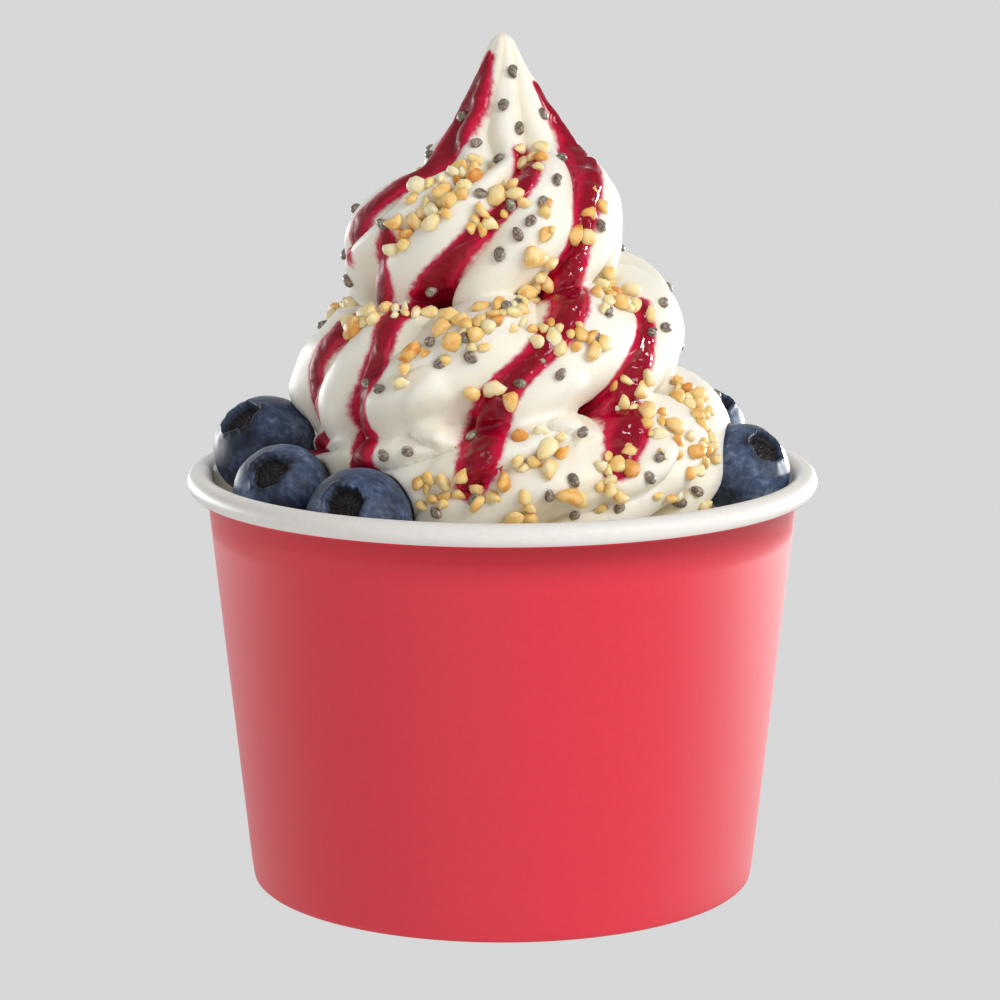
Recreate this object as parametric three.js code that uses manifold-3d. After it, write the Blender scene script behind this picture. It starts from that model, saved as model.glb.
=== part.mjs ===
// A paper cup of soft-serve frozen yogurt with berry sauce, chopped nuts, chia seeds and blueberries.
// Millimetres, +Z up. The origin is the middle of the cup's foot, on the surface that it stands on.
// Azimuth 0 is +X, the right-hand side, and -90 degrees is the front.
import * as THREE from 'three';
import { mergeVertices } from 'three/addons/utils/BufferGeometryUtils.js';
import Module from 'manifold-3d';

const wasm = await Module();
wasm.setup();

const TAU = 2 * Math.PI;
const UP = new THREE.Vector3(0, 0, 1);
const GAP = 0.3; // left between pieces that touch

// ---- Driving dimensions ----

// Cup: an 8 oz tub of coated board with a rolled rim and a recessed floor.
const CUP_HEIGHT = 64;
const RIM_RADIUS = 48; // to the outside of the roll
const RIM_ROLL = 1.85; // radius of the rolled rim
const WALL_TOP_RADIUS = 45.2; // outside of the wall, under the rim
const FOOT_RADIUS = 38.6; // outside of the wall, at the foot
const FOOT_ROUNDING = 0.8;
const BOARD = 0.8; // thickness of the wall and floor
const SKIRT = 2.0; // thickness of the folded skirt under the floor
const FLOOR_LIFT = 5; // the floor's underside, above the table
const CUP_SIDES = 64;

// Swirl: one fluted rope of soft serve, coiled downwards from the tip and widening as it goes.
// A "turn" is the rope's position: 0 at the right-hand side of the top tier, growing clockwise
// as seen from above, so that 0.25 is the front and 1 is the right-hand side, one tier down.
const TIP_HEIGHT = 129.6;
const TOP_TIER_HEIGHT = 103.6; // middle of the rope at turn 0
const TIER_PITCH = 16.9;
const TOP_TIER_REACH = 19.9; // outside radius of the coil at turn 0
const ROPE_WIDTH = 9.6; // half width, from the middle of the rope outwards
const ROPE_HEIGHT = 11.3; // half height
const FIRST_TURN = -0.5;
const LAST_TURN = 2.8;
const FLUTES = 9; // lobes round the swirl, at any height
const FLUTE_DEPTH = 0.2; // of the rope's half width
const STAGGER = 4; // how unevenly the two ends of a lobe hang, under each tier

// Contents below the swirl.
const FILL_HEIGHT = 57;

const SWIRL_COLUMNS = 63;
const SWIRL_ROWS = 38;

// Toppings. Azimuths are in degrees and heights are axis heights, as told under "Swirl".
const SAUCE_THICKNESS = 0.7;
// Sauce runs, from the top down, each a list of [axis height, azimuth, half width].
const SAUCE_RUNS = [
  [[121, -9, 1.0], [110, -17, 2.3], [104, -30, 2.7], [97, -45, 2.7], [88, -55, 2.7], [79, -67, 3.2],
    [74, -74, 3.4], [66, -91, 3.4], [60, -97, 3.1], [49, -101, 2.0]],
  [[108, -72, 1.9], [103, -82, 2.6], [95, -95, 2.5], [86, -118, 2.7], [82, -128, 2.6], [74, -127, 2.2],
    [66, -132, 2.2], [60, -142, 2.3], [53, -135, 2.6], [49, -136, 2.5]],
  [[93, -137, 1.2], [85, -149, 1.5], [80, -150, 2.3], [73, -149, 2.0], [64, -155, 1.7], [58, -156, 2.0],
    [51, -164, 2.1]],
  [[125, -128, 1.0], [121, -140, 1.6], [114, -149, 2.2], [98, -147, 2.3], [90, -159, 2.2], [82, -170, 1.4]],
  [[78, -32, 1.8], [72, -39, 2.9], [65, -50, 3.1], [58, -54, 2.8], [51, -61, 1.9]],
  [[85, -226, 1.6], [74, -234, 2.2], [62, -256, 2.3], [54, -256, 1.8]],
  [[112, 84, 1.6], [104, 72, 2.5], [95, 58, 2.4], [86, 48, 1.8]],
  [[88, 68, 1.8], [77, 52, 2.4], [66, 40, 2.4], [51, 30, 1.6]],
  [[119, 141, 1.5], [108, 128, 2.5], [96, 111, 2.5], [84, 97, 2.3], [73, 84, 1.8]],
];

// Chopped nuts lie in drifts on the ledges and in the valleys:
// [azimuth and height of one end, azimuth and height of the other end, how many].
const NUT_DRIFTS = [
  [-112, 106, -132, 96, 10],
  [-106, 103, -124, 95, 8],
  [-79, 108, -63, 106, 4],
  [-84, 101, -101, 92, 6],
  [-78, 95, -70, 92, 3],
  [-37, 100, -58, 90, 5],
  [-78, 83, -72, 87, 4],
  [-60, 79, -26, 84, 9],
  [-44, 78, -34, 77, 4],
  [-112, 79, -147, 74, 9],
  [-84, 79, -104, 74, 11],
  [-79, 75, -60, 72, 9],
  [-108, 72, -122, 67, 4],
  [-10, 65, -24, 57, 7],
  [-22, 53, -40, 50, 8],
  [-42, 61, -48, 54, 5],
  [-85, 66, -102, 64, 5],
  [-52, 61, -46, 67, 4],
  [-86, 57, -72, 56, 7],
  [-116, 50, -88, 50, 11],
  [-68, 49, -58, 53, 7],
  [-90, 45, -72, 46, 4],
  [-45, 44, -38, 45, 3],
  [-25, 41, -8, 40, 6],
  [38, 107, 62, 105, 5],
  [-160, 100, -185, 99, 5],
  [-205, 97, -235, 95, 8],
  [35, 89, 60, 91, 6],
  [66, 92, 85, 93, 5],
  [-175, 77, -190, 76, 5],
  [-200, 75, -240, 73, 9],
  [42, 69, 64, 70, 8],
  [70, 71, 88, 72, 6],
  [-195, 57, -250, 54, 9],
  [30, 50, 60, 52, 8],
  [75, 50, 85, 51, 4],
];
const NUT_SHARE = 0.32; // of the nuts, the larger ones, are solids here
const NUT_SIZE = new THREE.Vector3(1.9, 1.45, 1.2); // half sizes
const SEED_COUNT = 36;
const SEED_SIZE = new THREE.Vector3(1.15, 0.85, 0.75); // half sizes
const SEED_SPAN = [122, 47]; // axis heights between which the seeds lie

// Blueberries lie between the swirl and the cup's wall: centre, radius, and the azimuth and
// the height in degrees to which the crown points.
const BLUEBERRIES = [
  { centre: [-36.4, 2, 66.6], radius: 8.05, crown: [-141, 50] },
  { centre: [-32.8, -15.7, 62.7], radius: 7.4, crown: [-112, 43] },
  { centre: [-20.9, -28.5, 60.9], radius: 7.9, crown: [-110, 33] },
  { centre: [36.5, -4.4, 64], radius: 7.3, crown: [-46, 43] },
  { centre: [31.8, 18.9, 66.6], radius: 6.6, crown: [-53, 60] },
];

// ---- Small helpers ----

const radians = (degrees) => (degrees * Math.PI) / 180;
const mix = (a, b, t) => a + (b - a) * t;
const bump = (x, centre, width) => Math.exp(-(((x - centre) / width) ** 2));
const ramp = (x, from, to) => {
  const t = Math.min(Math.max((x - from) / (to - from), 0), 1);
  return t * t * (3 - 2 * t);
};

// The same azimuth, from -270 to 90 degrees.
const wholeTurn = (azimuth) => ((((azimuth + 1.5 * Math.PI) % TAU) + TAU) % TAU) - 1.5 * Math.PI;

// Outside radius of the cup's wall at a height.
const wallRadius = (z) => mix(FOOT_RADIUS, WALL_TOP_RADIUS, z / (CUP_HEIGHT - RIM_ROLL));

// A geometry whose shared corners are merged, as a solid for joining and cutting.
function toSolid(geometry) {
  const bare = geometry.clone();
  for (const name of Object.keys(bare.attributes)) {
    if (name !== 'position') bare.deleteAttribute(name);
  }
  const merged = mergeVertices(bare, 1e-4);
  return new wasm.Manifold(
    new wasm.Mesh({
      numProp: 3,
      vertProperties: new Float32Array(merged.attributes.position.array),
      triVerts: new Uint32Array(merged.index.array),
    }),
  );
}

function toGeometry(solid) {
  const { vertProperties, triVerts, numProp } = solid.getMesh();
  const position = new Float32Array((vertProperties.length / numProp) * 3);
  for (let i = 0; i < position.length / 3; i += 1) {
    for (let axis = 0; axis < 3; axis += 1) position[3 * i + axis] = vertProperties[numProp * i + axis];
  }
  const geometry = new THREE.BufferGeometry();
  geometry.setAttribute('position', new THREE.BufferAttribute(position, 3));
  geometry.setIndex(new THREE.BufferAttribute(new Uint32Array(triVerts), 1));
  geometry.computeVertexNormals();
  return geometry;
}

// A closed shell from rings of points: every ring has the same number of points, counted
// anticlockwise as seen from above, from a top point to a bottom point.
function shellOfRings(top, rings, bottom) {
  const count = rings[0].length;
  const position = [...top.toArray(), ...rings.flat().flatMap((p) => p.toArray()), ...bottom.toArray()];
  const last = 1 + rings.length * count;
  const at = (row, column) => 1 + row * count + (column % count);
  const index = [];
  for (let column = 0; column < count; column += 1) {
    index.push(0, at(0, column), at(0, column + 1));
    for (let row = 0; row + 1 < rings.length; row += 1) {
      index.push(at(row, column), at(row + 1, column), at(row + 1, column + 1));
      index.push(at(row, column), at(row + 1, column + 1), at(row, column + 1));
    }
    index.push(last, at(rings.length - 1, column + 1), at(rings.length - 1, column));
  }
  const geometry = new THREE.BufferGeometry();
  geometry.setAttribute('position', new THREE.BufferAttribute(new Float32Array(position), 3));
  geometry.setIndex(index);
  geometry.computeVertexNormals();
  return geometry;
}

// ---- Cup ----

function cupGeometry() {
  const rimCentre = new THREE.Vector2(RIM_RADIUS - RIM_ROLL, CUP_HEIGHT - RIM_ROLL);
  const underRim = rimCentre.y - 1.2;
  const profile = [];
  const add = (r, z) => profile.push(new THREE.Vector2(r, z));
  add(0, FLOOR_LIFT);
  add(FOOT_RADIUS - SKIRT, FLOOR_LIFT);
  add(FOOT_RADIUS - SKIRT, 0);
  add(FOOT_RADIUS - FOOT_ROUNDING, 0);
  add(wallRadius(FOOT_ROUNDING), FOOT_ROUNDING);
  add(wallRadius(underRim), underRim);
  // The roll turns outwards and over, from its underside to the mouth.
  for (let angle = -90; angle <= 180; angle += 45) {
    add(rimCentre.x + RIM_ROLL * Math.cos(radians(angle)), rimCentre.y + RIM_ROLL * Math.sin(radians(angle)));
  }
  add(wallRadius(underRim) - BOARD, underRim);
  add(wallRadius(FLOOR_LIFT + BOARD) - BOARD, FLOOR_LIFT + BOARD);
  add(0, FLOOR_LIFT + BOARD);
  return toGeometry(toSolid(new THREE.LatheGeometry(profile, CUP_SIDES).rotateX(Math.PI / 2)));
}

// ---- Swirl ----

// The rope swells out of the tip over its first half turn.
const swell = (turn) => 0.02 + 0.98 * ramp(turn, FIRST_TURN, 0.15);
const fullWidth = (turn) => ROPE_WIDTH + 2.2 * bump(turn, 0, 0.6);

function ropeSection(turn) {
  // The left-hand side of the lowest tier is pushed in, where the berries lie, and the right-hand
  // side of each tier below the top one has sunk.
  const taper = 9.2 * turn - 0.9 * turn * turn;
  const bulges = 0.5 * bump(turn, 0, 0.15) + 0.9 * bump(turn, 2, 0.2) - 5.5 * bump(turn, 2.5, 0.25);
  const reach = TOP_TIER_REACH + taper + bulges;
  const sunk = 1.5 * bump(turn, 1, 0.2) + 1.4 * bump(turn, 2, 0.2);
  const drop = 1.4 * bump(turn, 0, 0.15) - 1.5 * bump(turn, 0.5, 0.25) + 0.8 * bump(turn, 1.5, 0.2);
  return {
    radius: (reach - fullWidth(turn)) * (0.4 + 0.6 * swell(turn)),
    height: TOP_TIER_HEIGHT - TIER_PITCH * turn - drop - sunk,
    width: fullWidth(turn) * swell(turn),
    rise: (ROPE_HEIGHT + 0.9 * bump(turn, 0, 0.6) - sunk) * swell(turn),
  };
}

// Heights on the swirl are told by where a line that climbs outwards from the axis leaves it,
// because such lines cross the ledges and the sides of the tiers alike.
const CLIMB = radians(27);

// The flutes drift clockwise as they come down: how far, at an axis height.
function drift(axisHeight) {
  const drop = TIP_HEIGHT - axisHeight;
  const sway = 3.6 * Math.sin((TAU * (drop + 3.3)) / 18.8);
  return radians(1 + 1.656 * drop - 0.004 * drop * drop - sway);
}

// How far the flutes are turned aside on the left, where the lobes lie closer together. Azimuths
// here go from -270 to 90 degrees.
function squeeze(azimuth, axisHeight) {
  const left = (-180 / Math.PI) * wholeTurn(azimuth);
  const slant = 3 * Math.max(axisHeight - 96, 0) - 5 * Math.max(96 - axisHeight, 0);
  const top = 25 * ramp(left - 95 + slant, 0, 45) * ramp(112 - axisHeight, 0, 8) * ramp(axisHeight, 76, 84);
  const low = 20 * ramp(left, 132, 155) * ramp(78 - axisHeight, 0, 6) * ramp(axisHeight, 50, 55);
  return radians(top + low) * ramp(260 - left, 0, 90);
}

// The angle round the flutes: the same all along a valley or a crest.
const fluteAngle = (azimuth, axisHeight) => azimuth + drift(axisHeight) - squeeze(azimuth, axisHeight);

// The azimuth at which the flutes have an angle.
function fluteAzimuth(angle, axisHeight) {
  let low = angle - drift(axisHeight);
  let high = low + radians(48);
  for (let i = 0; i < 16; i += 1) {
    const middle = (low + high) / 2;
    if (fluteAngle(middle, axisHeight) < angle) low = middle;
    else high = middle;
  }
  return low;
}

// 0 in the valley between two lobes and 1 on a lobe's crest, raised to a power that rounds it.
const crest = (angle, power) => Math.abs(Math.sin((FLUTES * angle) / 2)) ** power;

// How much lower than its middle a lobe's underside hangs: it falls from left to right.
function hang(angle) {
  const phase = FLUTES * angle;
  return ((STAGGER * 2) / Math.PI) * Math.atan2(0.85 * Math.sin(phase), 1 - 0.85 * Math.cos(phase));
}

// The section is two half ellipses, and the lower one hangs unevenly.
function insideRope(turn, angle, r, z) {
  if (turn < FIRST_TURN || turn > LAST_TURN) return false;
  const rope = ropeSection(turn);
  const lean = 0.12;
  const dr = r - rope.radius;
  const dz = z - rope.height;
  const up = dz * Math.cos(lean) - dr * Math.sin(lean);
  const halfHeight = up > 0 ? rope.rise : Math.max(rope.rise + hang(angle) * swell(turn), 0.1);
  const x = (dr * Math.cos(lean) + dz * Math.sin(lean)) / rope.width;
  return Math.hypot(x, up / halfHeight) < 1 - FLUTE_DEPTH * (1 - crest(angle, 0.8));
}

// The pulled tip is a blunt fluted cone that goes down into the coil.
function insideTip(azimuth, angle, r, z) {
  const drop = TIP_HEIGHT - z;
  if (drop < 0) return false;
  const cone = (1.4 + 0.4 * drop + 0.01 * drop * drop) * Math.sqrt(1 - Math.exp(-drop / 0.5));
  const radius = cone / (1 + (cone / 15.5) ** 6) ** (1 / 6);
  const sideways = 0.6 * ramp(drop, 1, 16) * Math.cos(azimuth + 0.35);
  const shoulder = 0.8 * ramp(drop, 13, 20) * ramp(-Math.cos(azimuth), 0.2, 0.9);
  const hollow = (0.05 + 0.1 * ramp(drop, 4, 16)) * (1 - crest(angle, 1.3));
  return r < (radius + sideways + shoulder) * (1 - hollow);
}

function insideSwirl(azimuth, angle, r, z) {
  if (r < wallRadius(z) - BOARD - GAP && z < FILL_HEIGHT) return true;
  if (insideTip(azimuth, angle, r, z)) return true;
  for (let turn = -azimuth / TAU - 1; turn < LAST_TURN; turn += 1) {
    if (insideRope(turn, angle, r, z)) return true;
  }
  return false;
}

// Thickness of the sauce at a place on the swirl, whose radius there is given.
function sauceThickness(azimuth, axisHeight, radius) {
  let most = 0;
  for (const run of SAUCE_RUNS) {
    let next = run.findIndex(([height]) => height < axisHeight);
    next = next < 0 ? run.length - 1 : Math.max(next, 1);
    const [above, below] = [run[next - 1], run[next]];
    const along = Math.min(Math.max((above[0] - axisHeight) / (above[0] - below[0]), 0), 1);
    const beyond = Math.max(axisHeight - run[0][0], run.at(-1)[0] - axisHeight, 0);
    const turned = azimuth - radians(mix(above[1], below[1], along));
    const turnAside = Math.atan2(Math.sin(turned), Math.cos(turned));
    const offCentre = Math.hypot(turnAside * radius, beyond) / mix(above[2], below[2], along);
    if (offCentre < 1) most = Math.max(most, SAUCE_THICKNESS * Math.sqrt(1 - offCentre ** 2));
  }
  return most;
}

// The outermost point of the swirl along the climbing line.
function surfacePoint(anyAzimuth, axisHeight) {
  const azimuth = wholeTurn(anyAzimuth);
  const angle = fluteAngle(azimuth, axisHeight);
  const inside = (s) => insideSwirl(azimuth, angle, s * Math.cos(CLIMB), axisHeight + s * Math.sin(CLIMB));
  const step = 0.5;
  let far = 62;
  while (far > 0 && !inside(far)) far -= step;
  let near = Math.max(far, 0);
  far += step;
  for (let i = 0; i < 12; i += 1) {
    const middle = (near + far) / 2;
    if (inside(middle)) near = middle;
    else far = middle;
  }
  const reach = near + sauceThickness(azimuth, axisHeight, near * Math.cos(CLIMB));
  const r = reach * Math.cos(CLIMB);
  const z = axisHeight + reach * Math.sin(CLIMB);
  return new THREE.Vector3(r * Math.cos(azimuth), r * Math.sin(azimuth), z);
}

function swirlGeometry() {
  const fillRadius = wallRadius(FILL_HEIGHT) - BOARD - GAP;
  const floor = FLOOR_LIFT + BOARD + GAP;
  const lowest = FILL_HEIGHT - fillRadius * Math.tan(CLIMB);
  const column = (i) => (TAU * i) / SWIRL_COLUMNS;
  const ring = (pointAt) => Array.from({ length: SWIRL_COLUMNS }, (_, i) => pointAt(column(i)));
  const rings = [];
  for (let row = 1; row < SWIRL_ROWS; row += 1) {
    const axisHeight = mix(TIP_HEIGHT, lowest, (row / SWIRL_ROWS) ** 1.12);
    rings.push(ring((angle) => surfacePoint(fluteAzimuth(angle, axisHeight), axisHeight)));
  }
  const round = (r, z) =>
    ring((angle) => new THREE.Vector3(r, 0, z).applyAxisAngle(UP, fluteAzimuth(angle, lowest)));
  rings.push(round(fillRadius, FILL_HEIGHT));
  rings.push(round(wallRadius(floor) - BOARD - GAP, floor));
  return shellOfRings(new THREE.Vector3(0, 0, TIP_HEIGHT), rings, new THREE.Vector3(0, 0, floor));
}

// ---- Toppings ----

// A repeatable random number from 0 to 1.
function makeRandom(seed) {
  let state = seed;
  return () => {
    state = (state * 1103515245 + 12345) % 2147483648;
    return state / 2147483648;
  };
}

// Is a ball clear of the blueberries, and inside the cup's mouth or above its rim?
function isFree(centre, radius) {
  const reach = radius + GAP;
  for (const berry of BLUEBERRIES) {
    if (centre.distanceTo(new THREE.Vector3(...berry.centre)) < berry.radius + reach) return false;
  }
  const aboveRim = centre.z > CUP_HEIGHT + reach;
  return aboveRim || Math.hypot(centre.x, centre.y) < wallRadius(centre.z) - BOARD - reach;
}

// A small irregular piece half sunk in the swirl's surface, turned to lie on it.
function pieceOnSwirl(makeShape, azimuth, axisHeight, size, random) {
  const spot = surfacePoint(azimuth, axisHeight);
  const step = 1.2;
  const turnBeside = step / Math.max(Math.hypot(spot.x, spot.y), 4);
  const beside = surfacePoint(azimuth + turnBeside, axisHeight).sub(spot);
  const above = surfacePoint(azimuth, axisHeight + step).sub(spot);
  const outward = beside.cross(above).normalize();
  const centre = spot.clone().addScaledVector(outward, 0.3 * size.z);
  if (!isFree(centre, size.x)) return null;
  const lie = new THREE.Quaternion().setFromUnitVectors(UP, outward);
  const turn = new THREE.Quaternion().setFromAxisAngle(UP, TAU * random());
  return makeShape()
    .scale(size.x, size.y, size.z)
    .applyQuaternion(turn)
    .applyQuaternion(lie)
    .translate(centre.x, centre.y, centre.z);
}

const chunk = () => new THREE.IcosahedronGeometry(1, 0);
const grain = () => new THREE.OctahedronGeometry(1, 0).rotateX(0.5);

function nuts() {
  const random = makeRandom(7);
  const pieces = [];
  for (const [azimuthA, heightA, azimuthB, heightB, count] of NUT_DRIFTS) {
    const here = Math.round(count * NUT_SHARE);
    for (let i = 0; i < here; i += 1) {
      const along = (i + 0.2 + 0.6 * random()) / here;
      const azimuth = radians(mix(azimuthA, azimuthB, along) + 6 * (random() - 0.5));
      const height = mix(heightA, heightB, along) + 3 * (random() - 0.5);
      const size = NUT_SIZE.clone().multiplyScalar(0.85 + 0.35 * random());
      pieces.push(pieceOnSwirl(chunk, azimuth, height, size, random));
    }
  }
  return pieces.filter(Boolean);
}

// Seeds are spread evenly over the swirl: equal steps round it, by the golden angle, and down it.
function seeds() {
  const random = makeRandom(23);
  const golden = radians(137.5);
  const [highest, lowest] = SEED_SPAN;
  const pieces = [];
  for (let i = 0; i < SEED_COUNT; i += 1) {
    const down = ((i + 0.5) / SEED_COUNT) ** 0.62; // more of them where the swirl is wide
    pieces.push(pieceOnSwirl(grain, golden * i, mix(highest, lowest, down), SEED_SIZE, random));
  }
  return pieces.filter(Boolean);
}

// A blueberry stands on its bottom with its crown up, and is then turned to where the crown points.
function blueberryGeometry({ centre, radius, crown }) {
  const columns = 20;
  const lobe = (column, amount) => 1 + amount * Math.cos(5 * column);
  const rings = [];
  const ring = (across, height, amount = 0) => {
    rings.push(
      Array.from({ length: columns }, (_, i) => {
        const column = (TAU * i) / columns;
        const r = radius * across * lobe(column, amount);
        return new THREE.Vector3(r * Math.cos(column), r * Math.sin(column), radius * height);
      }),
    );
  };
  ring(0.22, 0.73);
  ring(0.31, 0.91, 0.1);
  ring(0.41, 0.885, 0.16);
  for (const degrees of [35, 54, 76, 99, 125, 153]) {
    ring(Math.sin(radians(degrees)), 0.93 * Math.cos(radians(degrees)));
  }
  const pit = new THREE.Vector3(0, 0, 0.73 * radius);
  const bottom = new THREE.Vector3(0, 0, -0.93 * radius);
  const [azimuth, height] = crown.map(radians);
  return shellOfRings(pit, rings, bottom)
    .rotateY(Math.PI / 2 - height)
    .rotateZ(azimuth)
    .translate(...centre);
}

function yogurtGeometry() {
  const toppings = [...nuts(), ...seeds()].map(toSolid);
  const whole = wasm.Manifold.union([toSolid(swirlGeometry()), ...toppings]);
  const hollows = BLUEBERRIES.map(({ centre, radius }) =>
    toSolid(new THREE.SphereGeometry(radius + GAP + 0.35, 14, 9).translate(...centre)),
  );
  const cut = whole.subtract(wasm.Manifold.union(hollows));
  const scraps = cut.decompose().sort((a, b) => b.volume() - a.volume());
  return toGeometry(scraps[0]);
}

// ---- The whole ----

const finish = (color, roughness) => new THREE.MeshStandardMaterial({ color, roughness, metalness: 0 });

function piece(name, geometry, material) {
  const mesh = new THREE.Mesh(geometry, material);
  mesh.name = name;
  return mesh;
}

const group = new THREE.Group();
group.add(piece('paper_cup', cupGeometry(), finish(0xd2434f, 0.6)));
group.add(piece('frozen_yogurt', yogurtGeometry(), finish(0xf3efe4, 0.5)));
BLUEBERRIES.forEach((berry, i) => {
  group.add(piece(`blueberry_${i + 1}`, blueberryGeometry(berry), finish(0x3b4a63, 0.55)));
});

export default group;
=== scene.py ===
"""A paper cup of frozen yogurt with berry sauce, chopped peanuts, chia seeds and blueberries."""

import math
import random

import bmesh
import bpy
import numpy as np
from mathutils import Matrix, Quaternion, Vector, noise


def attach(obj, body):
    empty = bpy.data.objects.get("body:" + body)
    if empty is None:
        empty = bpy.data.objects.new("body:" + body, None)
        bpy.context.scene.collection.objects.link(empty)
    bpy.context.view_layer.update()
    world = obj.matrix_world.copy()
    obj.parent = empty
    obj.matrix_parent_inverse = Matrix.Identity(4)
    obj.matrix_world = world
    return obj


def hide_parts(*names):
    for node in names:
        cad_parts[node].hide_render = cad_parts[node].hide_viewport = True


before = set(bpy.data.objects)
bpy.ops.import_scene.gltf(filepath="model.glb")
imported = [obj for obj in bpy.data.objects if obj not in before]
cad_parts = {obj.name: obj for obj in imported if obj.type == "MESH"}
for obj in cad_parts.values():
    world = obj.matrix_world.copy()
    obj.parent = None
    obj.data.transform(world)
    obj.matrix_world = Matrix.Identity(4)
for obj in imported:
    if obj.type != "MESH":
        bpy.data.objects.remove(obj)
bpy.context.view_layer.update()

# ---- Sizes, in millimetres ----

MM = 0.001
TAU = 2 * math.pi
SAME_POINT = 1e-3  # points closer together than this are one point

CUP_HEIGHT = 64.0
RIM_RADIUS = 48.0  # to the outside of the roll
RIM_ROLL = 1.85  # radius of the rolled rim
RIM_TO_WALL = 1.2  # how far under the middle of the roll the wall's outside ends
WALL_TOP_RADIUS = 45.2  # outside of the wall, under the rim
WALL_ROWS = (3, 5.2, 6, 8, 20, 32, 44, 54)  # heights of the rows of points on the wall's outside
FOOT_RADIUS = 38.6
FOOT_ROUNDING = 0.8
BOARD = 0.8  # thickness of the wall and the floor
SKIRT = 2.0  # thickness of the folded skirt under the floor
SKIRT_CORNER = 0.4  # the bevel at the skirt's lower inner edge
FLOOR_LIFT = 5.0
FLOOR_CORNER = 0.5  # the bevel where the floor's underside meets the skirt
CUP_STEPS = 192
ON_WALL = 0.1  # a point this close to the wall's outside belongs to it
SEAM_AZIMUTH = math.radians(105)  # the wall's glued overlap, at the back
SEAM_STEP = 0.28
SEAM_FADE = math.radians(14)  # how far round the wall the overlap's step runs out

# The swirl is one fluted rope, coiled downwards from the tip. A turn is 0 at the right-hand side of
# the top tier and grows clockwise as seen from above: 0.25 is the front, 1 is one tier down.
TIP_HEIGHT = 129.6
TIP_BLUNTNESS = 0.5
TIP_CORE = 15.5  # the greatest radius of the tip's cone, which goes on inside the coil
TIP_LEAN = 0.6
TIP_SHOULDER = 0.8  # how far it bulges on the left
TIP_SEARCH = 40.0  # further out than the cone's surface is anywhere
TIP_HALVINGS = 24
TOP_TIER_HEIGHT = 103.6
TIER_PITCH = 16.9
TOP_TIER_REACH = 19.9
TIER_FILLET = 1.3
ROPE_WIDTH = 9.6
ROPE_HEIGHT = 11.3
ROPE_LEAN = 0.12
FIRST_TURN = -0.5
FULL_TURN = 0.15  # the turn from which the rope has its full size
LAST_TURN = 2.8
BLUNT_END = 0.12  # turns over which the rope's last end is rounded off
LAPS = 4  # no azimuth has more of the rope's turns above one another than this
FLUTES = 9
FLUTE_DEPTH = 0.2
FLUTE_DRIFT = 1.656  # degrees that the flutes turn clockwise for each millimetre down
FLUTE_DRIFT_EASING = 0.004
FLUTE_SWAY = 3.6  # degrees that they sway to and fro, about once for each tier
FLUTE_SWAY_LENGTH = 18.8
STAGGER = 4.0  # how unevenly the two ends of a lobe hang, under each tier
STAGGER_SHARPNESS = 0.85
SQUEEZE_SEARCH = math.radians(48)  # more than the flutes are turned aside anywhere
SQUEEZE_HALVINGS = 16
FILL_HEIGHT = 57.0
FILL_RADIUS = 43.5
FILL_FILLET = 1.6
FILL_FOOT_RADIUS = 38.1
FILL_FOOT = 6.1

# Heights on the swirl are told by where a line that climbs outwards from the axis leaves it.
CLIMB = math.radians(27)

SWIRL_COLUMNS = 405
SWIRL_ROWS = 240
ROW_CROWDING = 1.1  # above 1 the rows lie closer together near the tip
CREASE_STEP = 1.1  # two rows that differ by more than this have a crease between tiers
CREASE_HALVINGS = 14

# Folds, where one strand lies over the next: how far the upper one stands proud, and then the
# azimuth and height of places along its edge, from left to right with the upper strand above.
FOLDS = [
    (1.3, [(-168, 53.5), (-153, 54), (-140, 56)]),
    (1.7, [(-134, 57.5), (-121, 59.5), (-111, 61.5), (-102, 63.5)]),
    (1.3, [(-121, 59.5), (-114, 57.5), (-106, 56)]),
    (1.8, [(-150, 50.5), (-128, 52), (-118, 53.5), (-107, 56), (-101, 57.5)]),
    (1.9, [(-91, 58.5), (-84, 59.3), (-78, 60.5), (-68, 63), (-62, 65)]),
    (1.4, [(-78, 60), (-74, 58.7), (-68, 57.5)]),
    (2.2, [(-110, 48), (-98, 50.5), (-90, 53), (-79, 55.5), (-69, 57), (-60, 58)]),
    (2.1, [(-93, 44), (-79, 46), (-65, 46.5), (-55, 47), (-48, 48.5), (-43, 52), (-38, 57)]),
    (1.2, [(-126, 65), (-119, 67), (-107, 70), (-96, 72.5), (-86, 76), (-75, 80.5)]),
    (1.3, [(-45, 44), (-38, 46), (-30, 50), (-22, 57)]),
    (1.2, [(-205, 70), (-190, 74), (-178, 79)]),
    (1.5, [(-215, 51), (-200, 53), (-185, 55), (-172, 58)]),
    (1.4, [(30, 50), (45, 53), (60, 57), (75, 62)]),
    (1.2, [(75, 66), (88, 70), (100, 75)]),
    (1.5, [(100, 49), (115, 52), (130, 56), (142, 60)]),
    (1.1, [(20, 84), (32, 88), (45, 93)]),
]
FOLD_ROUNDING = 1.1  # of the upper strand's edge
FOLD_WIDTH = 6  # how far above the line the upper strand stands proud
FOLD_DIP = 0.7  # depth of the dip below the line, as a share of how proud the upper strand is
FOLD_DIP_WIDTH = 2.8
FOLD_ENDS = 0.2  # share of a fold's length over which each of its ends fades

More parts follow.
